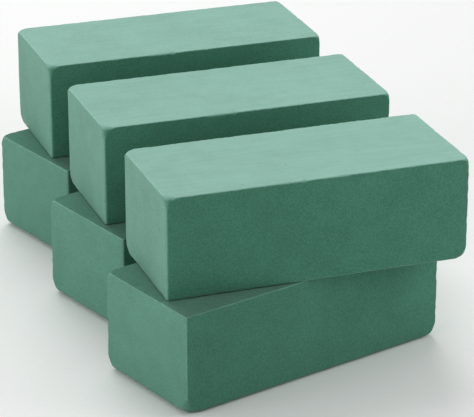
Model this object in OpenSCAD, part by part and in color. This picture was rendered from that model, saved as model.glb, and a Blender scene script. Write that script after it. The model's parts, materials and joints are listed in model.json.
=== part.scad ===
// Set of six dry floral foam bricks, standing as three stacks of two.
// X runs along the length of the lower bricks, Y from the front stack to the back one, Z up.
// The origin is the centre of the middle lower brick's underside.
// Each brick is one solid piece of foam. A sawn face meets its neighbours in a crisp edge,
// and a face that was moulded meets them in a round one.

/* [Brick] */
// Length of a brick
brick_length = 230; // [200:1:260]
// Width of a brick, front to back
brick_width = 100; // [80:1:112]
// Height of a brick
brick_height = 78; // [60:1:90]

/* [Edges] */
// Radius of a crisp edge between two sawn faces
sawn_edge = 1.5; // [0.5:0.1:3]
// Radius of a lower brick's long bottom edges
lower_long_edge = 5; // [2:0.5:12]
// Radius of a lower brick's bottom edge at the left end
lower_left_edge = 7; // [2:0.5:14]
// Radius of a lower brick's bottom edge at the right end
lower_right_edge = 6.5; // [2:0.5:14]
// Radius of an upper brick's two upright back edges
upper_upright_edge = 5; // [2:0.5:14]
// Radius of an upper brick's long bottom edge at the back
upper_long_edge = 6; // [2:0.5:14]
// Radius of an upper brick's bottom edge at the right end
upper_right_edge = 5; // [2:0.5:14]

/* [Stacks] */
// Distance from one stack to the next, front to back
stack_pitch = 140; // [125:1:170]
// Sideways step from one stack to the next
stack_stagger = 42; // [0:1:60]
// Turn of an upper brick on the brick below it, seen from above
upper_turn = -17; // [-20:1:0]
// Sideways shift of an upper brick on the brick below it
upper_shift_x = 14; // [0:1:30]
// Shift of an upper brick towards the back
upper_shift_y = -6; // [-10:1:10]

/* [Hidden] */

$fn = 96;
// Place of a stack in the row, counted from the middle one
FRONT = -1;
MIDDLE = 0;
BACK = 1;
// How far a cutter runs past the face that it cuts
spare = 1;
foam_green = [0.40, 0.63, 0.53];

// The waste outside a round corner: the corner is at [side_x, side_y] of a width by height outline
module corner_waste(width, height, side_x, side_y, radius) {
    translate([side_x * (width / 2 - radius), side_y * (height / 2 - radius)])
        difference() {
            translate([side_x > 0 ? 0 : -radius - spare, side_y > 0 ? 0 : -radius - spare])
                square(radius + spare);
            circle(radius);
        }
}

// A rectangle about the origin whose corner radii are [left low, right low, right high, left high]
module rounded_outline(width, height, radii) {
    difference() {
        square([width, height], center = true);
        corner_waste(width, height, -1, -1, radii[0]);
        corner_waste(width, height, 1, -1, radii[1]);
        corner_waste(width, height, 1, 1, radii[2]);
        corner_waste(width, height, -1, 1, radii[3]);
    }
}

// One brick standing on Z = 0: the common part of its plan, its long side and its end,
// each pushed through the block, so that every edge has the radius that its outline gives it
module brick(plan_radii, side_radii, end_radii) {
    through = 2 * spare;
    intersection() {
        translate([0, 0, -spare])
            linear_extrude(brick_height + through)
                rounded_outline(brick_length, brick_width, plan_radii);
        translate([0, brick_width / 2 + spare, brick_height / 2])
            rotate([90, 0, 0])
                linear_extrude(brick_width + through)
                    rounded_outline(brick_length, brick_height, side_radii);
        translate([-brick_length / 2 - spare, 0, brick_height / 2])
            rotate([90, 0, 90])
                linear_extrude(brick_length + through)
                    rounded_outline(brick_width, brick_height, end_radii);
    }
}

// A lower brick: sawn on top, moulded round below
module lower_brick() {
    brick(
        [sawn_edge, sawn_edge, sawn_edge, sawn_edge],
        [lower_left_edge, lower_right_edge, sawn_edge, sawn_edge],
        [lower_long_edge, lower_long_edge, sawn_edge, sawn_edge]
    );
}

// An upper brick: sawn on top, in front and at the left end, moulded round at the back
module upper_brick() {
    brick(
        [sawn_edge, sawn_edge, upper_upright_edge, upper_upright_edge],
        [sawn_edge, upper_right_edge, sawn_edge, sawn_edge],
        [sawn_edge, upper_long_edge, sawn_edge, sawn_edge]
    );
}

// Puts a brick in the lower place of a stack
module in_lower_place(stack) {
    translate([stack * stack_stagger, stack * stack_pitch, 0])
        children();
}

// Puts a brick in the upper place of a stack, shifted and turned on the one below
module in_upper_place(stack) {
    translate([stack * stack_stagger + upper_shift_x, stack * stack_pitch + upper_shift_y, brick_height])
        rotate([0, 0, upper_turn])
            children();
}

module front_lower_brick() {
    color(foam_green) in_lower_place(FRONT) lower_brick();
}

module front_upper_brick() {
    color(foam_green) in_upper_place(FRONT) upper_brick();
}

module middle_lower_brick() {
    color(foam_green) in_lower_place(MIDDLE) lower_brick();
}

module middle_upper_brick() {
    color(foam_green) in_upper_place(MIDDLE) upper_brick();
}

module back_lower_brick() {
    color(foam_green) in_lower_place(BACK) lower_brick();
}

module back_upper_brick() {
    color(foam_green) in_upper_place(BACK) upper_brick();
}

front_lower_brick();
front_upper_brick();
middle_lower_brick();
middle_upper_brick();
back_lower_brick();
back_upper_brick();
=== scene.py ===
"""Dresses the set of six dry floral foam bricks, three stacks of two, over its CAD bodies."""

import json
import logging
import math
from dataclasses import dataclass
from enum import Enum
from typing import Any

import bpy
import numpy as np
from mathutils import Matrix, Vector

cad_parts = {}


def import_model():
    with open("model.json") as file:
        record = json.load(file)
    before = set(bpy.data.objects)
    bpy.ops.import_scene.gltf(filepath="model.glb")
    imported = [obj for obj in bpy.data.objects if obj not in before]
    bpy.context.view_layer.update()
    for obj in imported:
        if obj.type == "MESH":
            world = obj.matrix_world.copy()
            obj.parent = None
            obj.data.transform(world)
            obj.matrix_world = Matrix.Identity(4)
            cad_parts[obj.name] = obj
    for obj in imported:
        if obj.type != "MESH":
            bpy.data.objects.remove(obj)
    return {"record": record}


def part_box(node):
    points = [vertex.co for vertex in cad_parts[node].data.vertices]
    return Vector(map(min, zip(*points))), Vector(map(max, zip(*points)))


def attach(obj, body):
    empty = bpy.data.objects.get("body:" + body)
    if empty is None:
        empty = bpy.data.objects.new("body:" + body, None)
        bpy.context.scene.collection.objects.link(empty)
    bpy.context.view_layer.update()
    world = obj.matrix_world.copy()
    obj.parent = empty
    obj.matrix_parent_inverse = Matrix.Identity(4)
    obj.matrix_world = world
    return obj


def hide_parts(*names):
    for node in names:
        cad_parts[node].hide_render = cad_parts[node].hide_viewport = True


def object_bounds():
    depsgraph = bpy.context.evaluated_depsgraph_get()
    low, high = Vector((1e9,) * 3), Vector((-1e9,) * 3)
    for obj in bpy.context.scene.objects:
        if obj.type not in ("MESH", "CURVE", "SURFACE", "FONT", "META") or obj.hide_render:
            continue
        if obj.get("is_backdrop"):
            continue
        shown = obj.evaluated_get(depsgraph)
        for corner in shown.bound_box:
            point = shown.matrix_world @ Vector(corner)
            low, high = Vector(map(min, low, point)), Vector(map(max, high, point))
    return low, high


LOG = logging.getLogger("foam_bricks")

# Output sockets of a material by the name of what each carries
Signals = dict[str, bpy.types.NodeSocket]

MM = 0.001


def linear_rgba(hex_code: str) -> tuple[float, float, float, float]:
    """Turns an sRGB hex colour to linear.

    Args:
        hex_code: Six hex digits, with or without a leading #.

    Returns:
        Linear red, green and blue, and an alpha of 1.
    """
    digits = hex_code.lstrip("#")
    parts = [int(digits[i : i + 2], 16) / 255 for i in (0, 2, 4)]
    line = [p / 12.92 if p <= 0.04045 else ((p + 0.055) / 1.055) ** 2.4 for p in parts]
    return (line[0], line[1], line[2], 1.0)


def add_node(
    tree: bpy.types.NodeTree,
    kind: str,
    settings: dict[str, Any] | None = None,
    inputs: dict[str | int, Any] | None = None,
) -> bpy.types.Node:
    """Adds a shader node with its settings and its inputs, linked or constant.

    Args:
        tree: The material's or the world's node tree.
        kind: Blender's name of the node type.
        settings: Property name to value.
        inputs: Socket name or number to an output socket, which is linked, or to a constant.

    Returns:
        The new node.
    """
    node = tree.nodes.new(kind)
    for name, value in (settings or {}).items():
        setattr(node, name, value)
    for name, value in (inputs or {}).items():
        if isinstance(value, bpy.types.NodeSocket):
            tree.links.new(value, node.inputs[name])
        else:
            node.inputs[name].default_value = value
    return node


def lattice_noise(points: np.ndarray, cell: float, seed: int) -> np.ndarray:
    """Smooth random values in space, the same for the same seed.

    Args:
        points: One row of x, y and z for each point.
        cell: Size of one cell, in the points' own unit.
        seed: Number that picks the random field.

    Returns:
        A value from -1 to 1 for each point.
    """
    period = 32  # cells after which the field repeats
    table = np.random.default_rng(seed).uniform(-1, 1, (period, period, period))
    scaled = points / cell
    low = np.floor(scaled).astype(int)
    part = scaled - low
    part = part * part * (3 - 2 * part)
    total = np.zeros(len(points))
    for corner in np.ndindex(2, 2, 2):
        share = np.prod(np.where(np.array(corner) == 1, part, 1 - part), axis=1)
        i, j, k = ((low + corner) % period).T
        total += share * table[i, j, k]
    return total


class Side(Enum):
    """The six faces of a brick, each as its axis and its sign."""

    LEFT = (0, -1)
    RIGHT = (0, 1)
    FRONT = (1, -1)
    BACK = (1, 1)
    BOTTOM = (2, -1)
    TOP = (2, 1)


# The edges of a brick in three groups
RIMS = {
    "upright": tuple((end, face) for end in (Side.LEFT, Side.RIGHT) for face in (Side.FRONT, Side.BACK)),
    "top": tuple((side, Side.TOP) for side in (Side.LEFT, Side.RIGHT, Side.FRONT, Side.BACK)),
    "bottom": tuple((side, Side.BOTTOM) for side in (Side.LEFT, Side.RIGHT, Side.FRONT, Side.BACK)),
}


@dataclass(frozen=True)
class Nick:
    """A place where the foam has crumbled from an edge."""

    sides: tuple[Side, Side]
    along: float  # from the edge's low end, 0, to its high end, 1
    reach: float  # half its length, in mm
    bite: float  # how much rounder the edge is there, in mm


@dataclass(frozen=True)
class DryPhenolicFoam:
    """Dry floral foam: open-celled phenolic foam, sawn from a block.

    The cells break open at the saw, so the surface is dead matt, with a powdery grain. Loose powder,
    with painted sheen on lit faces and painted highlights on crisp edges, makes upward faces and edges
    paler.
    """

    name: str = "dry_phenolic_foam"
    cell_hex: str = "#44836c"  # walls of the open cells
    hollow_hex: str = "#356b57"  # shade inside them
    powder_and_highlight_hex: str = "#8fbfaf"  # loose foam powder, also the colour of painted sheen and painted edge highlights
    pore_hex: str = "#2a5344"  # painted shade inside a burst bubble
    # Real cells are 0.1 to 0.3 mm wide, so the grain is drawn coarser, to show at all
    grain_mm: float = 1.3
    mottle_mm: float = 16.0
    drift_mm: float = 70.0
    pore_mm: float = 7.0  # from one possible pore to the next
    pore_core: float = 0.03  # radius of a pore's painted dark middle, in shares of pore_mm
    pore_rim: float = 0.075  # and of its edge
    # Each possible pore has a random value from 0 to 1: those below the first are left out
    pore_rarity: tuple[float, float] = (0.92, 0.95)
    streak_mm: float = 2.2  # spacing of the saw's fine marks
    streak_stretch: float = 0.045  # how slowly a mark changes along the brick
    bare_roughness: float = 0.90
    powder_roughness: float = 0.99
    ior: float = 1.5
    specular_level: float = 0.25  # the open cells swallow most of the gloss
    sheen: float = 0.12  # haze of the powder at a low angle
    sheen_roughness: float = 0.6
    bump_depth: float = 0.8 * MM
    wall_range: tuple[float, float] = (0.34, 0.66)  # from hollows to walls in the cells' pattern

    def material(self) -> bpy.types.Material:
        """Makes the material.

        Returns:
            The foam's material, whose patterns follow each brick's own millimetres.
        """
        made = bpy.data.materials.new(self.name)
        made.use_nodes = True
        tree = made.node_tree
        tree.nodes.clear()
        signals = self._stored(tree)
        signals |= self._patterns(tree, signals["foam_mm"])
        signals["pores"] = self._pores(tree, signals["foam_mm"])
        signals |= self._mixtures(tree, signals)
        # Share of the pale colour: real powder, painted sheen on lit faces and painted highlights on
        # crisp edges
        powder_and_painted_light = add_node(
            tree,
            "ShaderNodeMath",
            {"operation": "MULTIPLY", "use_clamp": True},
            {0: signals["settled_and_painted_light"], 1: signals["patchy"]},
        ).outputs["Value"]
        roughness = add_node(
            tree,
            "ShaderNodeMapRange",
            None,
            {"Value": powder_and_painted_light, "To Min": self.bare_roughness, "To Max": self.powder_roughness},
        )
        bump = add_node(
            tree,
            "ShaderNodeBump",
            None,
            {"Strength": 1.0, "Distance": self.bump_depth, "Height": signals["relief"]},
        )
        shader = add_node(
            tree,
            "ShaderNodeBsdfPrincipled",
            None,
            {
                "Base Color": self._colour(tree, signals, powder_and_painted_light),
                "Roughness": roughness.outputs["Result"],
                "IOR": self.ior,
                "Specular IOR Level": self.specular_level,
                "Sheen Weight": self.sheen,
                "Sheen Roughness": self.sheen_roughness,
                "Normal": bump.outputs["Normal"],
            },
        )
        add_node(tree, "ShaderNodeOutputMaterial", None, {"Surface": shader.outputs["BSDF"]})
        return made

    def _stored(self, tree: bpy.types.NodeTree) -> Signals:
        """Reads what the mesh stores at each point.

        Args:
            tree: The material's nodes.

        Returns:
            The point's place in its brick in millimetres, the wear and painted highlight of its edge, and
            its dust with painted sheen.
        """
        signals = {}
        for name, output in (("foam_mm", "Vector"), ("edge_wear_and_highlight", "Fac"), ("dust_and_painted_sheen", "Fac")):
            layer = add_node(tree, "ShaderNodeAttribute", {"attribute_name": name})
            signals[name] = layer.outputs[output]
        return signals

    def _patterns(self, tree: bpy.types.NodeTree, place: bpy.types.NodeSocket) -> Signals:
        """Makes the foam's random patterns, from its cells to the slow drift of its colour.

        Args:
            tree: The material's nodes.
            place: Place in the brick, in millimetres.

        Returns:
            A value of about 0.5 for each pattern.
        """
        along = add_node(
            tree,
            "ShaderNodeVectorMath",
            {"operation": "MULTIPLY"},
            {0: place, 1: (self.streak_stretch, 1.0, 1.0)},
        ).outputs["Vector"]
        # For each pattern, the place that it follows, the size of its spots and its octaves
        patterns = {
            "grain": (place, self.grain_mm, 3.0),
            "mottle": (place, self.mottle_mm, 3.0),
            "drift": (place, self.drift_mm, 1.0),
            "streaks": (along, self.streak_mm, 2.0),
        }
        signals = {}
        for name, (where, size_mm, octaves) in patterns.items():
            noise = add_node(
                tree,
                "ShaderNodeTexNoise",
                None,
                {"Vector": where, "Scale": 1 / size_mm, "Detail": octaves},
            )
            signals[name] = noise.outputs["Fac"]
        return signals

    def _pores(self, tree: bpy.types.NodeTree, place: bpy.types.NodeSocket) -> bpy.types.NodeSocket:
        """Scatters a few burst bubbles.

        Args:
            tree: The material's nodes.
            place: Place in the brick, in millimetres.

        Returns:
            A value of 1 in the middle of a bubble and 0 round it.
        """
        spots = add_node(tree, "ShaderNodeTexVoronoi", None, {"Vector": place, "Scale": 1 / self.pore_mm})
        pick = add_node(tree, "ShaderNodeSeparateColor", None, {"Color": spots.outputs["Color"]})
        near = add_node(
            tree,
            "ShaderNodeMapRange",
            None,
            {
                "Value": spots.outputs["Distance"],
                "From Min": self.pore_rim,
                "From Max": self.pore_core,
            },
        )
        few = add_node(
            tree,
            "ShaderNodeMapRange",
            None,
            {
                "Value": pick.outputs["Red"],
                "From Min": self.pore_rarity[0],
                "From Max": self.pore_rarity[1],
            },
        )
        return add_node(
            tree,
            "ShaderNodeMath",
            {"operation": "MULTIPLY", "use_clamp": True},
            {0: near.outputs["Result"], 1: few.outputs["Result"]},
        ).outputs["Value"]

    def _mixtures(self, tree: bpy.types.NodeTree, signals: Signals) -> Signals:
        """Adds the patterns up to what the foam's colour and relief are made from.

        Args:
            tree: The material's nodes.
            signals: The patterns and what the mesh stores.

        Returns:
            The sum for each mixture.
        """
        # For each mixture, what it starts from and the share of each signal that it adds
        recipes = {
            "cells": (0.0, {"grain": 0.65, "mottle": 0.20, "drift": 0.15}),
            # The pale share: powder with painted sheen, and a painted highlight on crisp edges
            "settled_and_painted_light": (0.0, {"dust_and_painted_sheen": 1.0, "edge_wear_and_highlight": 0.45}),
            "patchy": (0.33, {"mottle": 0.25, "streaks": 0.25, "grain": 0.40, "drift": 0.20}),
            "pits": (0.0, {"pores": 0.8}),
            "relief": (0.0, {"grain": 0.22, "mottle": 0.50, "streaks": 0.06, "pores": -0.60}),
        }
        mixtures = {}
        for name, (total, shares) in recipes.items():
            for signal, share in shares.items():
                total = add_node(
                    tree,
                    "ShaderNodeMath",
                    {"operation": "MULTIPLY_ADD"},
                    {0: signals[signal], 1: share, 2: total},
                ).outputs["Value"]
            mixtures[name] = total
        return mixtures

    def _colour(
        self,
        tree: bpy.types.NodeTree,
        signals: Signals,
        powder_and_painted_light: bpy.types.NodeSocket,
    ) -> bpy.types.NodeSocket:
        """Lays the foam's colours over each other: hollows, cell walls, powder with painted sheen and
        edge highlights, and pores with painted shade.

        Args:
            tree: The material's nodes.
            signals: The patterns and their mixtures.
            powder_and_painted_light: How much of the surface loose powder covers, with painted sheen and
                painted edge highlights.

        Returns:
            The colour.
        """
        walls = add_node(
            tree,
            "ShaderNodeMapRange",
            None,
            {
                "Value": signals["cells"],
                "From Min": self.wall_range[0],
                "From Max": self.wall_range[1],
            },
        ).outputs["Result"]
        colour: Any = linear_rgba(self.hollow_hex)
        layers = ((walls, self.cell_hex), (powder_and_painted_light, self.powder_and_highlight_hex), (signals["pits"], self.pore_hex))
        for share, over_hex in layers:
            colour = add_node(
                tree,
                "ShaderNodeMixRGB",
                None,
                {"Fac": share, "Color1": colour, "Color2": linear_rgba(over_hex)},
            ).outputs["Color"]
        return colour


@dataclass(frozen=True)
class SweepPaper:
    """The studio's seamless paper: matt, almost white, with a faint fibre."""

    name: str = "white_sweep_paper"
    high_hex: str = "#fbfcfb"
    low_hex: str = "#f6f7f6"
    fibre_m: float = 0.004
    roughness: float = 0.9
    specular_level: float = 0.1

    def material(self) -> bpy.types.Material:
        """Makes the paper's material.

        Returns:
            The material.
        """
        made = bpy.data.materials.new(self.name)
        made.use_nodes = True
        tree = made.node_tree
        tree.nodes.clear()
        place = add_node(tree, "ShaderNodeTexCoord").outputs["Object"]
        fibre = add_node(tree, "ShaderNodeTexNoise", None, {"Vector": place, "Scale": 1 / self.fibre_m})
        colour = add_node(
            tree,
            "ShaderNodeMixRGB",
            None,
            {
                "Fac": fibre.outputs["Fac"],
                "Color1": linear_rgba(self.low_hex),
                "Color2": linear_rgba(self.high_hex),
            },
        )
        shader = add_node(
            tree,
            "ShaderNodeBsdfPrincipled",
            None,
            {
                "Base Color": colour.outputs["Color"],
                "Roughness": self.roughness,
                "Specular IOR Level": self.specular_level,
            },
        )
        add_node(tree, "ShaderNodeOutputMaterial", None, {"Surface": shader.outputs["BSDF"]})
        return made


@dataclass
class FoamBrick:
    """One brick of dry foam, as a dense shell with real edges. Its own sizes are in millimetres."""

    node: str
    size: tuple[float, float, float]
    centre: Vector  # of its underside, in metres
    turn_deg: float
    seed: int
    edges: dict[tuple[Side, Side], float]
    corners: dict[tuple[Side, Side, Side], float]
    dust_and_painted_sheen: dict[Side, float]  # share of each face that loose powder and painted sheen cover
    nicks: tuple[Nick, ...] = ()
    sawn_edge: float = 1.3  # radius of an edge that edges doesn't name
    least_edge: float = 0.5  # radius that no crumb goes below
    corner_reach: float = 1.3  # how far a corner's roundness runs along its edges, in its radii
    core_inset: float = 15.0  # more than the largest radius
    fine_step: float = 0.4  # mesh spacing at the edges
    fine_count: int = 5  # how many lines have it
    coarse_step: float = 1.5  # mesh spacing in the middle of a face
    growth: float = 1.25  # from one spacing to the next between them
    # The search for the rounded surface goes out from the core: how far, where 1 is the block's
    # own surface, and in how many steps
    search_end: float = 1.001
    search_steps: int = 24
    slope_step: float = 0.05  # distance over which the surface's slope is taken
    # How the nearest edge decides a point's radius: by the inverse power of its distance
    edge_power: int = 4
    edge_blend: float = 0.3  # distance within which two edges that meet blend
    # How much rounder lost crumbs leave a crisp edge, at most, and their size in two noises
    crumbling: float = 1.1
    crumb_sizes: tuple[float, float] = (2.6, 9.0)
    crumb_ripple: float = 0.15  # how much a stretch with no crumb missing still ripples
    crumb_bias: float = 0.1  # raises the share of an edge that has lost crumbs
    nick_grain: float = 1.7  # size of the crumbs that leave a nick
    # A nick's mean depth, its unevenness and its deepest point, in shares of its bite
    nick_depth: float = 0.65
    nick_uneven: float = 0.7
    nick_deepest: float = 1.3
    nick_seed: int = 7  # what the nicks' noise adds to the brick's seed
    # Depth of a sawn face's slow waves, of its unevenness and of its grit, and their sizes
    wave: float = 0.30
    wave_size: float = 52.0
    uneven: float = 0.10
    uneven_size: float = 7.0
    grit: float = 0.05
    grit_size: float = 2.4
    saw_size: float = 3.1  # spacing of the saw's lines
    saw_stretch: float = 0.03  # how slowly a line changes along the brick
    dust_and_light_fall: float = 0.2  # how much more powder and painted light lie on the top of an upright face, with painted shade at its foot
    # How squarely a surface faces a side where its powder and painted sheen start, and where they are
    # full
    dust_and_sheen_slopes: tuple[float, float] = (0.45, 0.95)
    # Edges are worn and painted with a highlight up to the first radius and not at all from the second
    worn_and_lit_radii: tuple[float, float] = (2.0, 4.5)
    # How squarely a surface faces one side in the middle of an edge, and on a flat face
    edge_slopes: tuple[float, float] = (0.72, 0.99)
    upright_slope: float = 0.2  # a surface that looks up or down less than this is upright
    # Step between two bricks in the foam's patterns, so that no two look the same
    pattern_step: tuple[float, float, float] = (37.0, 91.0, 53.0)

    def build(self, foam: bpy.types.Material) -> bpy.types.Object:
        """Builds the brick in its place and dresses it.

        Args:
            foam: The foam's material.

        Returns:
            The new piece, riding on its body and standing for its CAD node.
        """
        points, quads = self._lattice()
        shaped, outward, crispness = self._rounded(points)
        shaped = shaped - outward * self._loss(points, shaped)[:, None]
        piece = self._mesh(shaped, quads)
        self._mark(piece, shaped, outward, crispness)
        piece.data.materials.append(foam)
        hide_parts(self.node)
        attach(piece, self.node)
        return piece

    def _stations(self, length: float) -> np.ndarray:
        """Places of the mesh lines along one side, close at its ends and wider in its middle.

        Args:
            length: The side's length.

        Returns:
            Places from minus half the length to half of it.
        """
        steps = [self.fine_step] * self.fine_count
        while steps[-1] < self.coarse_step:
            steps.append(min(steps[-1] * self.growth, self.coarse_step))
        end = np.concatenate([[0.0], np.cumsum(steps)])
        middle = length - 2 * end[-1]
        count = max(1, round(middle / self.coarse_step))
        inner = end[-1] + middle * np.arange(1, count) / count
        return np.concatenate([end, inner, length - end[::-1]]) - length / 2

    def _lattice(self) -> tuple[np.ndarray, np.ndarray]:
        """Makes the block's surface, before any edge is rounded.

        Returns:
            Its points, and four point numbers for each face.
        """
        lines = [self._stations(side) for side in self.size]
        shape = tuple(len(line) for line in lines)
        inside = np.zeros(shape, bool)
        inside[1:-1, 1:-1, 1:-1] = True
        cells = np.argwhere(~inside)
        number = np.full(shape, -1)
        number[tuple(cells.T)] = np.arange(len(cells))
        points = np.stack([lines[axis][cells[:, axis]] for axis in range(3)], axis=1)
        quads = []
        for side in Side:
            axis, sign = side.value
            sheet = np.take(number, 0 if sign < 0 else -1, axis=axis)
            rows = [sheet[:-1, :-1], sheet[1:, :-1], sheet[1:, 1:], sheet[:-1, 1:]]
            if (sign > 0) == (axis == 1):
                rows.reverse()
            quads.append(np.stack(rows, axis=-1).reshape(-1, 4))
        return points, np.concatenate(quads)

    def _radii(self, points: np.ndarray, rim: tuple[tuple[Side, Side], ...]) -> np.ndarray:
        """How round a group of edges is at each point, with its crumbling, nicks and corners.

        Args:
            points: The block's points.
            rim: The group's edges.

        Returns:
            A radius for each point, from the edges that are nearest to it.
        """
        half = np.array(self.size) / 2
        total = np.zeros(len(points))
        weights = np.zeros(len(points))
        crumbs = [lattice_noise(points, size, self.seed + i) for i, size in enumerate(self.crumb_sizes)]
        crumble = np.mean(crumbs, axis=0)
        for edge in rim:
            gap = [half[s.value[0]] - s.value[1] * points[:, s.value[0]] for s in edge]
            sound = self.edges.get(edge, self.sawn_edge)
            loose = self.crumbling * self.sawn_edge / max(sound, self.sawn_edge)
            lost = np.clip(crumble + self.crumb_bias, 0, 1)
            local = sound + loose * (self.crumb_ripple * crumble + lost)
            for nick in self.nicks:
                if nick.sides == edge:
                    local = local + self._nick(points, nick)
            weight = 1 / (np.hypot(*gap) + self.edge_blend) ** self.edge_power
            total += weight * local
            weights += weight
        radii = total / weights
        for names, radius in self.corners.items():
            if any(set(edge) <= set(names) for edge in rim):
                tip = np.zeros(3)
                for side in names:
                    tip[side.value[0]] = side.value[1] * half[side.value[0]]
                away = np.linalg.norm(points - tip, axis=1) / (self.corner_reach * radius)
                radii = radii + (radius - radii) * np.exp(-(away**4))
        return np.clip(radii, self.least_edge, None)

    def _nick(self, points: np.ndarray, nick: Nick) -> np.ndarray:
        """How much rounder a nick makes its edge.

        Args:
            points: The block's points.
            nick: The nick.

        Returns:
            What is added to the radius at each point.
        """
        axis = ({0, 1, 2} - {s.value[0] for s in nick.sides}).pop()
        middle = (nick.along - 0.5) * self.size[axis]
        crumbs = lattice_noise(points, self.nick_grain, self.seed + self.nick_seed)
        rough = np.clip(self.nick_depth + self.nick_uneven * crumbs, 0, self.nick_deepest)
        return nick.bite * rough * np.exp(-(((points[:, axis] - middle) / nick.reach) ** 2))

    def _outside(self, points: np.ndarray, radii: dict[str, np.ndarray]) -> np.ndarray:
        """How far each point lies outside the brick with its rounded edges; inside it is below 0.

        Args:
            points: Points about the brick's middle.
            radii: Each point's radius of the upright edges, of the top rim and of the bottom rim.

        Returns:
            A distance for each point.
        """
        half = np.array(self.size) / 2
        upright = radii["upright"][:, None]
        flat = np.abs(points[:, :2]) - half[:2] + upright
        past = np.linalg.norm(np.maximum(flat, 0), axis=1)
        plan = np.minimum(flat.max(axis=1), 0) + past - upright[:, 0]
        worst = []
        for rim, sign in (("top", 1), ("bottom", -1)):
            end = sign * points[:, 2] - half[2]
            radius = radii[rim]
            rounded = np.hypot(np.maximum(plan + radius, 0), np.maximum(end + radius, 0))
            worst.append(np.minimum(np.maximum(plan, end), -radius) + rounded)
        return np.maximum(*worst)

    def _rounded(self, points: np.ndarray) -> tuple[np.ndarray, np.ndarray, np.ndarray]:
        """Rounds the block's edges and corners.

        Args:
            points: The block's points.

        Returns:
            The moved points, the outward direction at each, and how crisp an edge each lies on.
        """
        half = np.array(self.size) / 2
        radii = {name: self._radii(points, rim) for name, rim in RIMS.items()}
        core = np.clip(points, -half + self.core_inset, half - self.core_inset)
        low, high = np.zeros(len(points)), np.full(len(points), self.search_end)
        for _ in range(self.search_steps):
            share = (low + high) / 2
            inside = self._outside(core + share[:, None] * (points - core), radii) < 0
            low = np.where(inside, share, low)
            high = np.where(inside, high, share)
        moved = core + low[:, None] * (points - core)
        slopes = []
        for step in self.slope_step * np.eye(3):
            slopes.append(self._outside(moved + step, radii) - self._outside(moved - step, radii))
        outward = np.stack(slopes, axis=1)
        outward /= np.linalg.norm(outward, axis=1)[:, None]
        return moved, outward, self._crispness(outward, radii)

    def _crispness(self, outward: np.ndarray, radii: dict[str, np.ndarray]) -> np.ndarray:
        """How crisp an edge each point lies on, which is where the foam wears and where a highlight is
        painted.

        Args:
            outward: The outward direction at each point.
            radii: Each point's radius of the upright edges, of the top rim and of the bottom rim.

        Returns:
            A value of 1 in the middle of a crisp edge, and 0 on a flat face or a round edge.
        """
        middle, flat = self.edge_slopes
        crisp, blunt = self.worn_and_lit_radii
        on_edge = 1 - np.clip((np.abs(outward).max(axis=1) - middle) / (flat - middle), 0, 1)
        rim_radius = np.where(outward[:, 2] > 0, radii["top"], radii["bottom"])
        is_upright = np.abs(outward[:, 2]) < self.upright_slope
        radius = np.where(is_upright, radii["upright"], rim_radius)
        return on_edge * np.clip((blunt - radius) / (blunt - crisp), 0, 1)

    def _loss(self, points: np.ndarray, shaped: np.ndarray) -> np.ndarray:
        """How far the surface lies inside the block: waves, unevenness, grit and saw lines.

        Args:
            points: The block's points.
            shaped: The same points with the edges rounded.

        Returns:
            A depth for each point, never below 0.
        """
        lines = points * np.array([self.saw_stretch, 1.0, 1.0])
        layers = (
            (self.wave, shaped, self.wave_size),
            (self.uneven, shaped, self.uneven_size),
            (self.grit, shaped, self.grit_size),
            (self.grit, lines, self.saw_size),
        )
        loss = np.zeros(len(points))
        for number, (depth, where, size) in enumerate(layers, start=len(self.crumb_sizes)):
            loss += depth * (0.5 + 0.5 * lattice_noise(where, size, self.seed + number))
        return loss

    def _mesh(self, shaped: np.ndarray, quads: np.ndarray) -> bpy.types.Object:
        """Makes the Blender mesh, in metres, in the brick's place.

        Args:
            shaped: The brick's points about its own middle, in millimetres.
            quads: Four point numbers for each face.

        Returns:
            The new object, at the origin.
        """
        name = self.node.replace("brick", "foam")
        mesh = bpy.data.meshes.new(name)
        lift = np.array([0, 0, self.size[2] / 2])
        mesh.from_pydata(((shaped + lift) * MM).tolist(), [], quads.tolist())
        stand = Matrix.Translation(self.centre) @ Matrix.Rotation(math.radians(self.turn_deg), 4, "Z")
        mesh.transform(stand)
        mesh.shade_smooth()
        piece = bpy.data.objects.new(name, mesh)
        bpy.context.scene.collection.objects.link(piece)
        return piece

    def _mark(
        self,
        piece: bpy.types.Object,
        shaped: np.ndarray,
        outward: np.ndarray,
        crispness: np.ndarray,
    ) -> None:
        """Stores what the foam's material reads at each point.

        Args:
            piece: The brick.
            shaped: Its points about its own middle, in millimetres.
            outward: The outward direction at each.
            crispness: How crisp an edge each point lies on.
        """
        own = shaped + self.seed * np.array(self.pattern_step)
        vector = piece.data.attributes.new("foam_mm", "FLOAT_VECTOR", "POINT")
        vector.data.foreach_set("vector", own.astype(np.float32).ravel())
        # Powder and painted sheen: tops and lit ends are painted paler
        dust_and_painted_sheen = np.zeros(len(outward))
        start, full = self.dust_and_sheen_slopes
        height = 2 * shaped[:, 2] / self.size[2]
        for side, share in self.dust_and_painted_sheen.items():
            axis, sign = side.value
            # Upright faces are painted paler towards their top and darker towards their foot
            spread = share * (1 + (self.dust_and_light_fall if axis < 2 else 0) * height)
            dust_and_painted_sheen += spread * np.clip((sign * outward[:, axis] - start) / (full - start), 0, 1)
        # edge_wear_and_highlight: wear plus a painted highlight along crisp edges
        for name, values in (("edge_wear_and_highlight", crispness), ("dust_and_painted_sheen", dust_and_painted_sheen)):
            layer = piece.data.attributes.new(name, "FLOAT", "POINT")
            layer.data.foreach_set("value", values.astype(np.float32))


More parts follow.
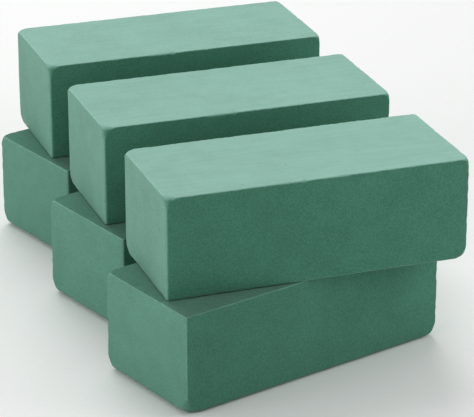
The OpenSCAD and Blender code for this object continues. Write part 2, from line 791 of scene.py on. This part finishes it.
@dataclass
class BrickStack:
    """Two bricks, the upper one turned on the lower one."""

    place: str
    seed: int
    record: dict[str, Any]
    upper_turn_deg: float = -17.0  # turn of the upper brick on the lower one, as the CAD has it
    upper_seed_step: int = 20  # what the upper brick's seed adds to the lower one's

    def build(self, foam: bpy.types.Material) -> list[bpy.types.Object]:
        """Builds both bricks.

        Args:
            foam: The foam's material.

        Returns:
            The lower brick and the upper one.
        """
        low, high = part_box(f"{self.place}_lower_brick")
        size = tuple((high - low) / MM)
        middle = (low + high) / 2
        top = next(m for m in self.record["mounts"] if m["name"] == f"{self.place}_top")
        bricks = [
            self._lower(size, Vector((middle.x, middle.y, low.z))),
            self._upper(size, Vector(top["pos_m"]) - Vector((0, 0, size[2] * MM))),
        ]
        return [brick.build(foam) for brick in bricks]

    def _lower(self, size: tuple[float, float, float], centre: Vector) -> FoamBrick:
        """The lower brick: sawn on top, moulded round below.

        Args:
            size: Its length, width and height, in millimetres.
            centre: The middle of its underside, in metres.

        Returns:
            The brick.
        """
        return FoamBrick(
            node=f"{self.place}_lower_brick",
            size=size,
            centre=centre,
            turn_deg=0.0,
            seed=self.seed,
            edges={
                (Side.LEFT, Side.BOTTOM): 7.0,
                (Side.RIGHT, Side.BOTTOM): 6.5,
                (Side.FRONT, Side.BOTTOM): 4.5,
                (Side.BACK, Side.BOTTOM): 6.0,
                (Side.LEFT, Side.FRONT): 2.2,
            },
            corners={
                (Side.LEFT, Side.FRONT, Side.BOTTOM): 9.0,
                (Side.LEFT, Side.BACK, Side.BOTTOM): 6.5,
                (Side.RIGHT, Side.FRONT, Side.BOTTOM): 6.0,
                (Side.LEFT, Side.BACK, Side.TOP): 4.0,
            },
            # Shares of powder and painted sheen on each face
            dust_and_painted_sheen={Side.TOP: 0.06, Side.LEFT: 0.22, Side.BACK: 0.12, Side.RIGHT: 0.14},
            nicks=(
                Nick((Side.FRONT, Side.TOP), 0.62, 3.0, 1.0),
                Nick((Side.LEFT, Side.TOP), 0.30, 2.0, 0.8),
                Nick((Side.LEFT, Side.FRONT), 0.35, 2.5, 0.8),
            ),
        )

    def _upper(self, size: tuple[float, float, float], centre: Vector) -> FoamBrick:
        """The upper brick: sawn on top, in front and at its left end, moulded round at the back.

        Args:
            size: Its length, width and height, in millimetres.
            centre: The middle of its underside, in metres.

        Returns:
            The brick.
        """
        return FoamBrick(
            node=f"{self.place}_upper_brick",
            size=size,
            centre=centre,
            turn_deg=self.upper_turn_deg,
            seed=self.seed + self.upper_seed_step,
            edges={
                (Side.LEFT, Side.BACK): 5.5,
                (Side.RIGHT, Side.BACK): 4.0,
                (Side.BACK, Side.BOTTOM): 6.0,
                (Side.RIGHT, Side.BOTTOM): 5.0,
                (Side.LEFT, Side.FRONT): 2.6,
            },
            corners={
                (Side.LEFT, Side.FRONT, Side.TOP): 5.5,
                (Side.RIGHT, Side.FRONT, Side.TOP): 3.5,
                (Side.LEFT, Side.BACK, Side.TOP): 5.0,
                (Side.LEFT, Side.BACK, Side.BOTTOM): 7.0,
                (Side.RIGHT, Side.FRONT, Side.BOTTOM): 5.0,
            },
            # Shares of powder and painted sheen on each face; the lit left end is painted paler
            dust_and_painted_sheen={Side.TOP: 1.0, Side.LEFT: 0.39, Side.RIGHT: 0.25, Side.BACK: 0.16},
            nicks=(
                Nick((Side.FRONT, Side.TOP), 0.45, 1.8, 3.0),
                Nick((Side.FRONT, Side.TOP), 0.40, 9.0, 1.8),
                Nick((Side.FRONT, Side.TOP), 0.58, 4.0, 1.0),
                Nick((Side.FRONT, Side.TOP), 0.24, 3.0, 0.7),
                Nick((Side.LEFT, Side.TOP), 0.52, 1.6, 1.3),
                Nick((Side.LEFT, Side.TOP), 0.27, 2.2, 1.0),
                Nick((Side.RIGHT, Side.TOP), 0.60, 3.0, 1.0),
            ),
        )


@dataclass(frozen=True)
class Softbox:
    """A square studio lamp with a diffuser, aimed at a point. Its sizes are in metres."""

    name: str
    azimuth_deg: float
    elevation_deg: float
    distance: float
    width: float
    watts: float

    def build(self, aim: Vector) -> None:
        """Hangs the lamp.

        Args:
            aim: The point that it is aimed at.
        """
        lamp = bpy.data.lights.new(self.name, "AREA")
        lamp.shape = "SQUARE"
        lamp.size = self.width
        lamp.energy = self.watts
        holder = bpy.data.objects.new(self.name, lamp)
        bpy.context.scene.collection.objects.link(holder)
        place = aim + self.distance * direction(self.azimuth_deg, self.elevation_deg)
        holder.matrix_world = facing(place, aim)
        holder.visible_camera = False


def direction(azimuth_deg: float, elevation_deg: float) -> Vector:
    """The unit vector from the object to a viewpoint.

    Args:
        azimuth_deg: 0 in front, at -Y, growing towards +X.
        elevation_deg: 0 level with the object, 90 straight above it.

    Returns:
        The vector.
    """
    azimuth, elevation = math.radians(azimuth_deg), math.radians(elevation_deg)
    flat = math.cos(elevation)
    return Vector((flat * math.sin(azimuth), -flat * math.cos(azimuth), math.sin(elevation)))


def facing(place: Vector, aim: Vector) -> Matrix:
    """The matrix of a lamp or a camera that looks at a point, with its top up.

    Args:
        place: Where it stands.
        aim: The point that it looks at.

    Returns:
        The matrix.
    """
    turn = (aim - place).to_track_quat("-Z", "Y")
    return Matrix.Translation(place) @ turn.to_matrix().to_4x4()


@dataclass(frozen=True)
class Studio:
    """The floor, the lamps, the surrounding light and the camera. Its sizes are in metres."""

    middle: Vector  # of the whole object
    # From there to the point in the middle of the view
    aim_shift: tuple[float, float, float] = (0.0008, -0.0146, -0.016)
    floor_side: float = 24.0
    floor_drop: float = 0.0002  # keeps the paper clear of the bricks' undersides
    surround_strength: float = 0.40
    view_azimuth_deg: float = -36.5
    view_elevation_deg: float = 22.5
    view_distance: float = 2.0
    lens_mm: float = 195.0
    softboxes: tuple[Softbox, ...] = (
        Softbox("back_softbox", 160.0, 52.0, distance=3.0, width=2.2, watts=54.0),
        Softbox("left_softbox", -95.0, 15.0, distance=2.2, width=1.5, watts=18.0),
        Softbox("right_softbox", 35.0, 25.0, distance=0.7, width=0.4, watts=1.2),
    )

    def build(self) -> None:
        """Builds the studio and sets the camera."""
        aim = self.middle + Vector(self.aim_shift)
        self._floor()
        self._surround()
        for softbox in self.softboxes:
            softbox.build(aim)
        self._camera(aim)
        bpy.context.scene.view_settings.view_transform = "Standard"

    def _floor(self) -> None:
        """Lays the paper that the bricks stand on."""
        mesh = bpy.data.meshes.new("sweep_paper")
        reach = self.floor_side / 2
        corners = [(x, y, -self.floor_drop) for x, y in ((-1, -1), (1, -1), (1, 1), (-1, 1))]
        mesh.from_pydata([(x * reach, y * reach, z) for x, y, z in corners], [], [(0, 1, 2, 3)])
        floor = bpy.data.objects.new("sweep_paper", mesh)
        bpy.context.scene.collection.objects.link(floor)
        floor.data.materials.append(SweepPaper().material())
        floor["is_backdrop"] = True

    def _surround(self) -> None:
        """Sets the even white light of the room."""
        world = bpy.data.worlds.new("white_room")
        world.use_nodes = True
        world.node_tree.nodes.clear()
        glow = add_node(
            world.node_tree,
            "ShaderNodeBackground",
            None,
            {"Color": (1.0, 1.0, 1.0, 1.0), "Strength": self.surround_strength},
        )
        add_node(
            world.node_tree, "ShaderNodeOutputWorld", None, {"Surface": glow.outputs["Background"]}
        )
        bpy.context.scene.world = world

    def _camera(self, aim: Vector) -> None:
        """Sets the camera.

        Args:
            aim: The point that it looks at.
        """
        data = bpy.data.cameras.new("view")
        data.lens = self.lens_mm
        camera = bpy.data.objects.new("view", data)
        bpy.context.scene.collection.objects.link(camera)
        away = direction(self.view_azimuth_deg, self.view_elevation_deg)
        camera.matrix_world = facing(aim + self.view_distance * away, aim)
        bpy.context.scene.camera = camera


def main() -> None:
    """Builds the studio and the three stacks."""
    logging.basicConfig(level=logging.INFO, format="%(name)s: %(message)s")
    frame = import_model()
    cad_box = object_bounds()
    Studio((Vector(cad_box[0]) + Vector(cad_box[1])) / 2).build()
    foam = DryPhenolicFoam().material()
    for seed, place in enumerate(("front", "middle", "back"), start=1):
        for piece in BrickStack(place, seed, frame["record"]).build(foam):
            LOG.info("%s: %d faces", piece.name, len(piece.data.polygons))


if __name__ == "__main__":
    main()
